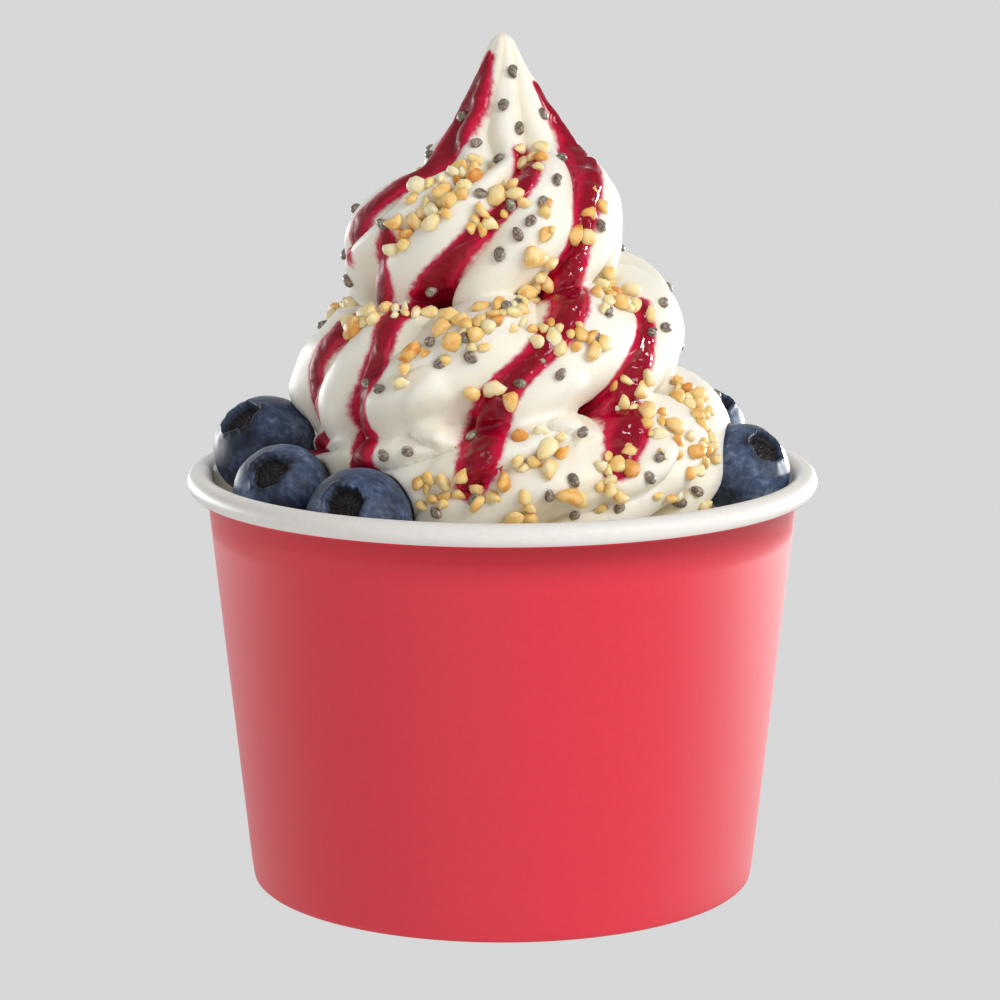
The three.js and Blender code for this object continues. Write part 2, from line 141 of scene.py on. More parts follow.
# Sauce runs, from the top down, each a list of (height, azimuth, half width).
SAUCE_RUNS = [
    [(119, -11, 0.6), (116, -12, 1.0), (112, -11, 1.3), (109, -14, 1.6), (105, -28, 2.1),
     (100, -42, 2.3), (96, -49, 2.1), (92, -53, 1.8), (89, -57, 1.9), (86, -61, 2.4),
     (83, -62, 2.6), (78, -67, 2.7), (74, -73, 2.9), (69, -83, 2.9), (65, -91, 3.0),
     (61, -94.5, 3.2), (56, -95.5, 3.1), (52, -97, 2.7), (50, -98, 1.8)],
    [(107.5, -75, 0.9), (105, -73, 1.4), (102, -76, 1.6), (99, -81, 1.6), (96, -88.5, 1.6),
     (92.5, -98, 1.6), (88.7, -105.5, 1.7), (85.7, -113.5, 1.8), (83.7, -120, 2.1), (81, -125, 2.0),
     (78, -129, 2.0), (75, -130, 1.8), (71, -127, 1.7), (67.4, -130, 1.7), (63.6, -133, 1.8),
     (60.6, -137, 2.1), (58.2, -136, 2.4), (55.2, -133, 2.7), (52.5, -131.5, 2.7), (50, -131, 2.3)],
    [(89.5, -139, 0.7), (87.5, -143, 1.3), (84, -143, 1.6), (82.1, -139, 2.3), (80, -148, 2.7),
     (77.5, -157, 2.7), (76, -154, 2.3), (74, -149, 1.9), (70, -152, 1.7), (66.6, -157, 1.6),
     (63.6, -160, 1.6), (60.2, -158, 1.9), (57.8, -161, 2.5), (55.5, -164, 2.8), (52, -167, 2.6)],
    [(124.5, -140, 0.7), (122, -142, 1.7), (120, -142, 2.4), (117.5, -143, 3.2), (113, -144, 3.5),
     (110.5, -141, 3.1), (108, -139, 2.8), (105.5, -145, 2.2), (103, -153, 1.8), (99.5, -154, 1.7),
     (96, -156.5, 1.6), (93, -159, 1.7), (90, -163, 1.9), (87.5, -167, 2.0), (85.5, -165, 1.6)],
    [(78, -33, 1.0), (75, -36, 1.5), (71.5, -41, 2.6), (68.7, -45, 3.2), (65, -48.5, 3.4),
     (61.5, -50.5, 2.8), (57, -54.5, 3.1), (53.5, -57.7, 2.7), (51.5, -61, 1.8)],
    [(85, -226, 1.6), (80, -234, 2.0), (74, -234, 2.2), (68, -244, 2.3), (62, -256, 2.3),
     (54, -256, 1.8)],
    [(112, 84, 1.6), (108, 80, 2.2), (104, 72, 2.5), (99, 62, 2.5), (95, 58, 2.4), (90, 54, 2.4),
     (86, 48, 1.8)],
    [(88, 68, 1.8), (82, 58, 2.3), (77, 52, 2.4), (72, 47, 2.4), (66, 40, 2.4), (60, 36, 2.2),
     (51, 30, 1.6)],
    [(119, 141, 1.5), (114, 136, 2.2), (108, 128, 2.5), (102, 116, 2.5), (96, 111, 2.5),
     (90, 109, 2.4), (84, 97, 2.3), (78, 87, 2.2), (73, 84, 1.8)],
]
SAUCE_THICKNESS = 0.4
SAUCE_WET_EXTRA = 0.35  # how much thicker it is where it is wettest
SAUCE_MOST = 1.5  # the most that it stands proud of the yogurt
SAUCE_SUNK = 0.3  # how far its edges are sunk in the yogurt
SAUCE_SHELL = 0.35  # thickness of the sheet that is drawn
SAUCE_COLUMNS = 18
SAUCE_ROW = 0.4  # height of one row of faces
SAUCE_OVER_END = 1.5  # how far a strip goes on past the ends of its run
SAUCE_OVER_SIDE = 1.35  # and to each side of its middle, in half widths
WETTEST_AZIMUTH = math.radians(-50)
STAIN_WIDTH = 3.6  # width of the edge over which the sauce bleeds into the yogurt

# Chopped peanuts lie in drifts on the ledges and in the valleys: azimuth and height of one end,
# azimuth and height of the other end, how many.
NUT_DRIFTS = [
    (-110, 105, -128, 96, 14), (-103, 102, -120, 94, 12), (-124, 94, -136, 89, 7),
    (-79, 108, -63, 106, 7), (-84, 101, -101, 92, 10), (-78, 95, -70, 92, 5),
    (-37, 100, -58, 90, 5), (-78, 83, -72, 87, 8), (-58, 79, -26, 84, 15), (-44, 78, -34, 77, 5),
    (-122, 79, -152, 74, 19), (-84, 79, -104, 74, 26), (-79, 75, -60, 72, 17),
    (-108, 72, -122, 67, 5), (-10, 65, -24, 57, 15), (-22, 53, -40, 50, 17),
    (-42, 61, -48, 54, 10), (-88, 66, -102, 64, 3), (-52, 61, -46, 67, 7), (-86, 56, -74, 55, 10),
    (-116, 50, -94, 49, 15), (-68, 48, -60, 52, 12), (-88, 45, -76, 46, 7), (-45, 44, -38, 45, 8),
    (-30, 42, -18, 43, 10), (38, 107, 62, 105, 12), (-180, 100, -202, 99, 10),
    (-205, 97, -235, 95, 15), (35, 89, 60, 91, 14), (66, 92, 85, 93, 10), (-188, 77, -202, 76, 10),
    (-200, 75, -240, 73, 20), (42, 69, 64, 70, 15), (70, 71, 88, 72, 12), (-195, 57, -250, 54, 19),
    (30, 50, 60, 52, 15), (75, 50, 85, 51, 8),
]
NUT_TRIES = 12  # places that are tried for a nut before it is left out
NUT_LENGTHS = (0.8, 2.25, 1.25)  # the least, the greatest and the commonest half length
NUT_ROOM = 0.75  # how far a nut keeps others off, as a share of its half length
NUT_OVERLAP = 0.5  # how far two nuts may share that room
NUT_CUTS = 3

# Chia seeds on the front by azimuth and height; those round the back are spread evenly.
FRONT_SEEDS = [
    (-69, 122), (-89, 116), (-72, 112), (-114, 109), (-92, 106), (-51, 105), (-152, 114),
    (-100, 98), (-64, 100), (-178, 92), (-164, 106), (-141, 91), (-40, 114), (-91, 88), (-84, 91),
    (-79, 93), (-86, 96), (-73, 96), (-45, 92), (-122, 83), (-173, 81), (-171, 72), (-111, 72),
    (-108, 69), (-99, 70), (-101, 73), (-89, 79), (-85, 80), (-62, 73), (-54, 77), (-25, 77),
    (-29, 73), (-132, 65), (-125, 64), (-35, 73), (-99, 59), (-123, 54), (-116, 55), (-69, 58),
    (-107, 46), (-97, 48), (-79, 48), (-73, 50), (-71, 46), (-60, 46), (-54, 49), (-50, 52),
    (-35, 45), (-31, 46), (-85, 66), (-79, 70), (-74, 67),
]
SEED_COUNT = 96  # all round the swirl; the half of them at the back is kept
SEED_SPAN = (122, 46)
SEED_CROWDING = 0.62  # below 1 more of them lie low down, where the swirl is wide
SEED_SIZE = (1.1, 0.8, 0.66)  # half sizes of a chia seed
SEED_OFF_NUTS = 0.6
GOLDEN_ANGLE = 137.508

TOPPING_STEP = 1.2  # distance over which the slope under a nut or seed is measured
TOPPING_RADIUS = 43.4  # how far out from the axis nuts and seeds may reach below the rim
TOPPING_GAP = 0.1  # between them and a blueberry

DENT_GAP = 0.25  # between a blueberry and the yogurt
PIT = 0.41  # half the angle across a blueberry's crown, seen from the berry's middle
PIT_DEPTH = 0.19  # this and the next three are shares of the berry's radius
CROWN_RISE = 0.035
BERRY_FLATNESS = 0.92
BERRY_LUMPS = 0.015
BERRY_COLUMNS = 120
BERRY_ROWS = 76
BERRY_ROW_CROWDING = 1.6  # above 1 the rows lie closer together near the crown
# Blueberries: centre, radius, and the azimuth and height in degrees to which the crown points.
BLUEBERRIES = [
    ((-36.4, 2, 66.6), 8.05, (-141, 50)),
    ((-32.8, -15.7, 62.7), 7.4, (-112, 43)),
    ((-20.9, -28.5, 60.9), 7.9, (-110, 33)),
    ((36.5, -4.4, 64), 7.3, (-46, 43)),
    ((31.8, 18.9, 66.6), 6.6, (-53, 60)),
]

FLOOR_RADIUS = 8000


# ---- Helpers ----


def bump(x, centre, width):
    return np.exp(-(((x - centre) / width) ** 2))


def ramp(x, start, end):
    t = np.clip((x - start) / (end - start), 0, 1)
    return t * t * (3 - 2 * t)


def paint(hex_colour):
    """A linear colour from an sRGB hex value."""
    parts = [int(hex_colour[i : i + 2], 16) / 255 for i in (1, 3, 5)]
    return [c / 12.92 if c <= 0.04045 else ((c + 0.055) / 1.055) ** 2.4 for c in parts] + [1.0]


def drawn(name, bm, *materials):
    """The bmesh, drawn in millimetres, as a smooth object."""
    bmesh.ops.scale(bm, vec=(MM, MM, MM), verts=bm.verts)
    mesh = bpy.data.meshes.new(name)
    bm.to_mesh(mesh)
    bm.free()
    mesh.shade_smooth()
    for material in materials:
        mesh.materials.append(material)
    piece = bpy.data.objects.new(name, mesh)
    bpy.context.scene.collection.objects.link(piece)
    return piece


def finished(name, bm, *materials):
    """The bmesh, drawn in millimetres, as a smooth piece that rides on the cup."""
    piece = drawn(name, bm, *materials)
    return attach(piece, "root")


def grid_of_points(bm, columns, rows):
    """The points of a new flat grid, and the column and row of each, counted from its top left."""
    points = bmesh.ops.create_grid(bm, x_segments=columns, y_segments=rows, size=0.5)["verts"]
    flat = np.array([point.co[:2] for point in points])
    column = np.rint((flat[:, 0] + 0.5) * columns).astype(int)
    row = np.rint((0.5 - flat[:, 1]) * rows).astype(int)
    return points, column, row


# ---- The swirl's surface ----


def unwound(azimuth):
    """The azimuth between -270 and 90 degrees, so that it changes over at the back."""
    return (azimuth + 1.5 * math.pi) % TAU - 1.5 * math.pi


def drift(height):
    """How far the flutes have turned clockwise at a height."""
    drop = TIP_HEIGHT - height
    sway = FLUTE_SWAY * np.sin(TAU * (drop + 3.3) / FLUTE_SWAY_LENGTH)
    return np.radians(1 + FLUTE_DRIFT * drop - FLUTE_DRIFT_EASING * drop**2 - sway)


def hang(azimuth, height):
    """How much lower than usual a lobe's underside hangs: one end hangs low and the other high."""
    phase = FLUTES * flute_angle(azimuth, height)
    side = STAGGER_SHARPNESS * np.sin(phase)
    return STAGGER * 2 / math.pi * np.arctan2(side, 1 - STAGGER_SHARPNESS * np.cos(phase))


def squeeze(azimuth, height):
    """How far the flutes are turned aside on the left, where the lobes lie closer together."""
    # The two upper tiers are squeezed by up to 25 degrees, from a slanting line on, and the third
    # by up to 20. Both die out round the back.
    left = -np.degrees(unwound(azimuth))
    slant = 3 * np.maximum(height - 96, 0) - 5 * np.maximum(96 - height, 0)
    top = 25 * ramp(left - 95 + slant, 0, 45) * ramp(112 - height, 0, 8) * ramp(height, 76, 84)
    low = 20 * ramp(left, 132, 155) * ramp(78 - height, 0, 6) * ramp(height, 50, 55)
    return np.radians(top + low) * ramp(260 - left, 0, 90)


def flute_angle(azimuth, height):
    """The angle round the flutes: the same all along a valley or a crest."""
    return azimuth + drift(height) - squeeze(azimuth, height)


def flute_azimuth(angle, height):
    """The azimuth at which the flutes have an angle, found by halving the span it may lie in."""
    low = angle - drift(height)
    high = low + SQUEEZE_SEARCH
    for _ in range(SQUEEZE_HALVINGS):
        middle = (low + high) / 2
        short = flute_angle(middle, height) < angle
        low = np.where(short, middle, low)
        high = np.where(short, high, middle)
    return low


def rope_reach(turn, height, hollow, hanging):
    """How far along the climbing line the rope's section is left, or -1 where it is missed. The
    section is two half ellipses, and the lower one hangs unevenly."""
    swell = 0.02 + 0.98 * ramp(turn, FIRST_TURN, FULL_TURN)
    full_width = ROPE_WIDTH + 2.2 * bump(turn, 0, 0.6)
    # Each tier reaches further out than the one above. Where the coil sits unevenly it bulges at
    # some turns and sinks at others.
    taper = 9.2 * turn - 0.9 * turn**2
    reach = TOP_TIER_REACH + taper + 0.5 * bump(turn, 0, 0.15)
    reach = reach + 0.9 * bump(turn, 2, 0.2) - 5.5 * bump(turn, 2.5, 0.25)
    sunk = 1.5 * bump(turn, 1, 0.2) + 1.4 * bump(turn, 2, 0.2)
    radius = (reach - full_width) * (0.4 + 0.6 * swell)
    drop = 1.4 * bump(turn, 0, 0.15) - 1.5 * bump(turn, 0.5, 0.25) + 0.8 * bump(turn, 1.5, 0.2)
    middle = TOP_TIER_HEIGHT - TIER_PITCH * turn - drop - sunk
    width = full_width * swell
    rise = (ROPE_HEIGHT + 0.9 * bump(turn, 0, 0.6) - sunk) * swell
    past_end = np.clip(turn - LAST_TURN + BLUNT_END, 0, 1) / BLUNT_END
    blunt_end = np.sqrt(np.clip(1 - past_end**2, 0, 1))
    size = (1 - FLUTE_DEPTH * hollow) * blunt_end
    cos_lean, sin_lean = math.cos(ROPE_LEAN), math.sin(ROPE_LEAN)
    step_x = (math.cos(CLIMB) * cos_lean + math.sin(CLIMB) * sin_lean) / width
    from_x = (-radius * cos_lean + (height - middle) * sin_lean) / width

    def leave(half_height):
        step_y = (math.sin(CLIMB) * cos_lean - math.cos(CLIMB) * sin_lean) / half_height
        from_y = ((height - middle) * cos_lean + radius * sin_lean) / half_height
        a = step_x**2 + step_y**2
        b = step_x * from_x + step_y * from_y
        under_root = b**2 - a * (from_x**2 + from_y**2 - size**2)
        out = (np.sqrt(np.maximum(under_root, 0)) - b) / a
        return out, from_y + step_y * out, under_root > 0

    over, over_level, over_met = leave(rise)
    under, under_level, under_met = leave(np.maximum(rise + hanging * swell, 0.1))
    reach = np.where(under_met & (under_level < 0), under, -1.0)
    reach = np.where(over_met & (over_level >= 0), over, reach)
    return np.where((turn >= FIRST_TURN) & (turn < LAST_TURN), reach, -1.0)


def tip_reach(azimuth, height, hollow):
    """How far along the climbing line the blunt fluted cone of the pulled tip is left."""
    low = np.zeros_like(height)
    high = np.full_like(height, TIP_SEARCH)
    for _ in range(TIP_HALVINGS):
        middle = (low + high) / 2
        drop = np.maximum(TIP_HEIGHT - height - middle * math.sin(CLIMB), 0)
        cone = (1.4 + 0.4 * drop + 0.01 * drop**2) * np.sqrt(1 - np.exp(-drop / TIP_BLUNTNESS))
        radius = cone / (1 + (cone / TIP_CORE) ** 6) ** (1 / 6)
        radius = radius + TIP_LEAN * ramp(drop, 1, 16) * np.cos(azimuth + 0.35)
        radius = radius + TIP_SHOULDER * ramp(drop, 13, 20) * ramp(-np.cos(azimuth), 0.2, 0.9)
        radius = radius * (1 - (0.05 + 0.1 * ramp(drop, 4, 16)) * hollow)
        inside = (middle * math.cos(CLIMB) < radius) & (drop > 0)
        low = np.where(inside, middle, low)
        high = np.where(inside, high, middle)
    return low


def soft_most(a, b, fillet):
    """The larger of two reaches, with the corner between them filled."""
    return (a + b + np.sqrt((a - b) ** 2 + fillet**2)) / 2 - fillet * 0.12


def swirl_reach(azimuth, height):
    """How far along the climbing line the outermost surface lies."""
    azimuth = unwound(azimuth)
    crest = np.abs(np.sin(FLUTES * flute_angle(azimuth, height) / 2))
    tip = tip_reach(azimuth, height, 1 - crest**1.3)
    hollow = 1 - crest**0.8
    hanging = hang(azimuth, height)
    rope = np.full_like(height, -1.0)
    for lap in range(LAPS):
        rope = np.maximum(rope, rope_reach(-azimuth / TAU - 1 + lap, height, hollow, hanging))
    swirl = np.where(rope > 0, soft_most(tip, rope, TIER_FILLET), tip)
    # The fill's surface is a little wavy, but not where the swirl comes close to the wall.
    wave = 0.5 * np.sin(2.3 * azimuth + 0.4) * np.sin(5.1 * azimuth) + 0.3 * np.sin(9 * azimuth + 2)
    fill = (FILL_HEIGHT + wave * ramp(43 - swirl, 0, 4) - height) / math.sin(CLIMB)
    fill = np.clip(fill, 0, FILL_RADIUS / math.cos(CLIMB))
    reach = np.where(height < FILL_HEIGHT, soft_most(swirl, fill, FILL_FILLET), swirl)
    return np.minimum(reach, FILL_RADIUS / math.cos(CLIMB))


def wobble(azimuth, height):
    """Small unevenness of hand-pulled yogurt, which dies out towards the tip."""
    slow = np.sin(3 * azimuth + 0.13 * height + 1) * np.sin(0.21 * height - 2 * azimuth)
    quick = np.sin(7 * azimuth - 0.3 * height) * np.sin(0.47 * height + 4 * azimuth + 2)
    return (0.22 * slow + 0.12 * quick) * ramp(TIP_HEIGHT - height, 3, 12)


def fold_push(azimuth, height, across):
    """How far folds push the surface out: a rounded edge above each line, a dip below it."""
    push = np.zeros_like(height)
    for proud, places in FOLDS:
        line = np.array(places, float)
        turned = azimuth[..., None] - np.radians(line[:-1, 0])
        x = np.arctan2(np.sin(turned), np.cos(turned)) * across[..., None]
        y = height[..., None] - line[:-1, 1]
        run = np.radians(np.diff(line[:, 0])) * across[..., None]
        rise = np.diff(line[:, 1])
        along = np.clip((x * run + y * rise) / (run**2 + rise**2), 0, 1)
        far = np.hypot(x - along * run, y - along * rise)
        nearest = np.argmin(far, -1)[..., None]
        off = np.take_along_axis(far, nearest, -1)[..., 0]
        above = np.take_along_axis(run * y - rise * x, nearest, -1)[..., 0] > 0
        place = (nearest + np.take_along_axis(along, nearest, -1))[..., 0] / (len(line) - 1)
        edge = (1 - np.exp(-off / FOLD_ROUNDING)) * np.exp(-((off / FOLD_WIDTH) ** 2))
        dip = -FOLD_DIP * np.exp(-off / FOLD_DIP_WIDTH)
        fade = ramp(place, 0, FOLD_ENDS) * ramp(1 - place, 0, FOLD_ENDS)
        push += proud * fade * np.where(above, edge, dip)
    return push


def swirl_point(azimuth, height, proud=0.0):
    """Points that stand this far proud of the swirl, as an array of x, y and z."""
    reach = swirl_reach(azimuth, height)
    push = fold_push(azimuth, height, reach * math.cos(CLIMB))
    reach = reach + wobble(azimuth, height) + push + proud
    across = np.minimum(reach * math.cos(CLIMB), FILL_RADIUS)
    level = height + reach * math.sin(CLIMB)
    return np.stack([across * np.cos(azimuth), across * np.sin(azimuth), level], -1)


def snap_to_creases(azimuth_at, heights):
    """Moves the rows next to each crease between tiers right up to it, so that it runs clean."""
    reach = swirl_reach(azimuth_at(heights), heights)
    column, row = np.nonzero(reach[:, :-1] - reach[:, 1:] > CREASE_STEP)
    above = heights[column, row]
    below = heights[column, row + 1]
    half_way = (reach[column, row] + reach[column, row + 1]) / 2
    for _ in range(CREASE_HALVINGS):
        middle = (above + below) / 2
        probe = heights[column].copy()
        probe[:, 0] = middle
        out = swirl_reach(azimuth_at(probe, column), probe)[:, 0] > half_way
        above = np.where(out, middle, above)
        below = np.where(out, below, middle)
    heights[column, row] = above
    heights[column, row + 1] = below
    return heights


def push_off_berries(points):
    """Points inside a blueberry move out to its skin, which leaves its dent in the yogurt."""
    for centre, radius, _ in BLUEBERRIES:
        away = points - np.array(centre)
        far = np.linalg.norm(away, axis=-1, keepdims=True)
        dent = np.array(centre) + away / np.maximum(far, 1e-6) * (radius + DENT_GAP)
        points = np.where(far < radius + DENT_GAP, dent, points)
    return points


def run_path(places, height):
    """The azimuth and half width of a sauce run at a height, its corners rounded off."""
    downs, turns, widths = (np.array(x, float) for x in zip(*places[::-1]))
    near = [height + step for step in (-2, -1, 0, 1, 2)]
    azimuth = sum(np.interp(h, downs, np.radians(turns)) for h in near) / 5
    return azimuth, sum(np.interp(h, downs, widths) for h in near) / 5


def past_ends(places, height):
    """How far above or below a sauce run a height lies."""
    return np.maximum(np.maximum(height - places[0][0], places[-1][0] - height), 0)


def sauce_at(azimuth, height, across):
    """How many millimetres inside the nearest run's edge, and below 0 outside all runs."""
    most = np.full_like(height, -9.0)
    for places in SAUCE_RUNS:
        middle, width = run_path(places, height)
        aside = np.arctan2(np.sin(azimuth - middle), np.cos(azimuth - middle)) * across
        most = np.maximum(most, width - np.hypot(aside, past_ends(places, height)))
    return most


# ---- Materials ----


def new_material(name):
    """An empty material, its node tree and its Principled shader."""
    material = bpy.data.materials.new(name)
    material.use_nodes = True
    tree = material.node_tree
    return material, tree, tree.nodes["Principled BSDF"]


def feed(node, inputs):
    """Sets a node's inputs, or links them where another node's output is given."""
    for name, value in inputs.items():
        if isinstance(value, bpy.types.NodeSocket):
            node.id_data.links.new(value, node.inputs[name])
        else:
            node.inputs[name].default_value = value


def add(tree, kind, inputs=None, **settings):
    """A node with its settings, and its inputs set or linked."""
    made = tree.nodes.new(kind)
    for name, value in settings.items():
        setattr(made, name, value)
    feed(made, inputs or {})
    return made


def pattern(tree, place, size, detail, **more):
    """A noise whose patches are about this many millimetres across."""
    inputs = {"Vector": place.outputs["Object"], "Scale": 1 / (size * MM), "Detail": detail, **more}
    return add(tree, "ShaderNodeTexNoise", inputs).outputs["Fac"]


def point_value(tree, name):
    """A value that each point of the mesh carries."""
    return add(tree, "ShaderNodeAttribute", attribute_name=name).outputs["Fac"]


def times_plus(tree, value, factor, other):
    """The value times the factor, plus the other value."""
    inputs = {0: value, 1: factor, 2: other}
    return add(tree, "ShaderNodeMath", inputs, operation="MULTIPLY_ADD").outputs[0]


def blend(tree, share, one, other, **settings):
    """Two colours mixed."""
    inputs = {0: share, 6: one, 7: other}
    return add(tree, "ShaderNodeMix", inputs, data_type="RGBA", **settings).outputs[2]


def shift(tree, value, start, end, low, high):
    """The value, taken from the span between start and end to the span between low and high."""
    inputs = {0: value, 1: start, 2: end, 3: low, 4: high}
    return add(tree, "ShaderNodeMapRange", inputs).outputs[0]


def gradient(tree, value, *stops):
    """The colour at the value, between stops that are each a position and an sRGB hex value."""
    made = add(tree, "ShaderNodeValToRGB", {0: value})
    marks = made.color_ramp.elements
    for end, (position, hex_colour) in enumerate((stops[0], stops[-1])):
        marks[end].position = position
        marks[end].color = paint(hex_colour)
    for position, hex_colour in stops[1:-1]:
        marks.new(position).color = paint(hex_colour)
    return made.outputs[0]


def relief(tree, height, strength, depth):
    """The surface's direction under a relief this many millimetres deep."""
    inputs = {"Height": height, "Strength": strength, "Distance": depth * MM}
    return add(tree, "ShaderNodeBump", inputs).outputs[0]


def soft_serve_yogurt():
    """Frozen yogurt, piped: milky white and softly lit from within, with a moist satin skin and a
    very fine icy grain. Painted shade makes it a little darker and creamier in the flute valleys,
    and it is pink where the sauce bleeds."""
    material, tree, shader = new_material("soft_serve_yogurt")
    place = add(tree, "ShaderNodeTexCoord")
    crystals = pattern(tree, place, 0.9, 3.0)
    cloudy = {0: point_value(tree, "valley"), 1: pattern(tree, place, 7, 2.0)}
    painted_valley_shade = add(tree, "ShaderNodeMath", cloudy, operation="MULTIPLY").outputs[0]
    # Painted shade: the milk colour is mixed towards a darker cream where the valley value is high,
    # broken up by a noise.
    milk_with_valley_shade = blend(tree, painted_valley_shade, paint("#F6F1E4"), paint("#EADFC2"))
    bled = times_plus(tree, pattern(tree, place, 1.1, 5.0), 0.34, point_value(tree, "stain"))
    stain = gradient(
        tree,
        bled,
        (0.4, "#FFFFFF"),
        (0.5, "#F8DDE1"),
        (0.58, "#E58CA2"),
        (0.66, "#C62F58"),
        (0.78, "#A80A34"),
    )
    inputs = {
        "Base Color": blend(tree, 1.0, milk_with_valley_shade, stain, blend_type="MULTIPLY"),
        "Normal": relief(tree, crystals, 0.12, 0.25),
        "Roughness": 0.5,
        "IOR": 1.36,
        "Subsurface Weight": 0.55,
        "Subsurface Radius": (1.0, 0.8, 0.5),
        "Subsurface Scale": 2 * MM,
    }
    feed(shader, inputs)
    return material


def berry_coulis():
    """Raspberry coulis, cooked and strained: a dark red gel that is a brighter red where it thins
    out at its edges. At the front right it is wet, with sharp broken highlights, and from there it
    grows duller, to a satin skin round the back."""
    material, tree, shader = new_material("berry_coulis")
    place = add(tree, "ShaderNodeTexCoord")
    clots = pattern(tree, place, 2.4, 3.0)
    body = times_plus(tree, clots, 0.5, point_value(tree, "depth"))
    ripples = pattern(tree, place, 2.6, 1.5, Distortion=0.6)
    inputs = {
        "Base Color": gradient(
            tree, body, (0.2, "#D81A4C"), (0.45, "#CA0C3D"), (0.7, "#B40532"), (1.0, "#8E0220")
        ),
        "Normal": relief(tree, ripples, 0.6, 0.8),
        "Roughness": shift(tree, point_value(tree, "gloss"), 0.0, 1.0, 0.56, 0.07),
        "IOR": 1.38,
        "Subsurface Weight": 0.15,
        "Subsurface Radius": (1.0, 0.1, 0.15),
        "Subsurface Scale": 1.0 * MM,
    }
    feed(shader, inputs)
    return material


def chopped_peanut():
    """Blanched peanut, roasted and chopped: waxy cream flesh with golden toasted patches, a soft
    sheen and light that goes a little way in. Each chunk has its own tone."""
    material, tree, shader = new_material("chopped_peanut")
    place = add(tree, "ShaderNodeTexCoord")
    toasting = pattern(tree, place, 1.6, 2.0)
    done = times_plus(tree, toasting, 0.95, point_value(tree, "tone"))
    colour = gradient(
        tree,
        done,
        (0.25, "#FDECC7"),
        (0.45, "#FAE1AA"),
        (0.65, "#F7D08A"),
        (0.85, "#EEB866"),
        (1.0, "#DB9547"),
    )
    grain = pattern(tree, place, 0.5, 2.0)
    inputs = {
        "Base Color": colour,
        "Normal": relief(tree, grain, 0.25, 0.12),
        "Roughness": 0.5,
        "IOR": 1.42,
        "Subsurface Weight": 0.6,
        "Subsurface Radius": (1.0, 0.62, 0.28),
        "Subsurface Scale": 1.2 * MM,
    }
    feed(shader, inputs)
    return material


def chia_seed():
    """Chia seed, whole and dry: a smooth grey-brown hull with paler marbling and a dull shine."""
    material, tree, shader = new_material("chia_seed")
    place = add(tree, "ShaderNodeTexCoord")
    marbling = pattern(tree, place, 0.7, 3.0, Distortion=1.5)
    inputs = {
        "Base Color": gradient(
            tree, marbling, (0.38, "#5A4D43"), (0.52, "#8A7D6E"), (0.68, "#BBAE9C")
        ),
        "Roughness": 0.42,
        "IOR": 1.48,
    }
    feed(shader, inputs)
    return material


def blueberry_skin():
    """Blueberry, fresh: a dark blue-black waxy skin under a pale dusty bloom that is rubbed off in
    places, and a dry crown of a nearly black brown."""
    material, tree, shader = new_material("blueberry_skin")
    place = add(tree, "ShaderNodeTexCoord")
    rubbed = pattern(tree, place, 8, 5.0, Roughness=0.62)
    dust = pattern(tree, place, 0.8, 3.0)
    cover = times_plus(tree, dust, 0.3, rubbed)
    skin = gradient(
        tree, cover, (0.44, "#14171F"), (0.59, "#2A3348"), (0.73, "#4C5D7A"), (0.9, "#8E9EB8")
    )
    inputs = {
        "Base Color": blend(tree, point_value(tree, "crown"), skin, paint("#1E1819")),
        "Normal": relief(tree, dust, 0.15, 0.15),
        "Roughness": shift(tree, cover, 0.45, 0.9, 0.42, 0.62),
        "IOR": 1.4,
        "Specular IOR Level": 0.35,
        "Sheen Weight": 0.25,
        "Sheen Roughness": 0.4,
        "Sheen Tint": paint("#A9B8D2"),
    }
    feed(shader, inputs)
    return material


def board(name, hex_colour, roughness, reflection):
    """Paper board under a thin satin coating: an even colour, broken only by the faint cloudy
    fibres of the board, which also make its surface slightly uneven."""
    material, tree, shader = new_material(name)
    place = add(tree, "ShaderNodeTexCoord")
    fibres = pattern(tree, place, 1.1, 4.0, Roughness=0.7)
    tinted = {0: paint(hex_colour)[:3], "Scale": shift(tree, fibres, 0.3, 0.7, 0.965, 1.035)}
    inputs = {
        "Base Color": add(tree, "ShaderNodeVectorMath", tinted, operation="SCALE").outputs[0],
        "Normal": relief(tree, fibres, 0.1, 0.1),
        "Roughness": roughness,
        "Specular IOR Level": reflection,
    }
    feed(shader, inputs)
    return material


# ---- Pieces ----


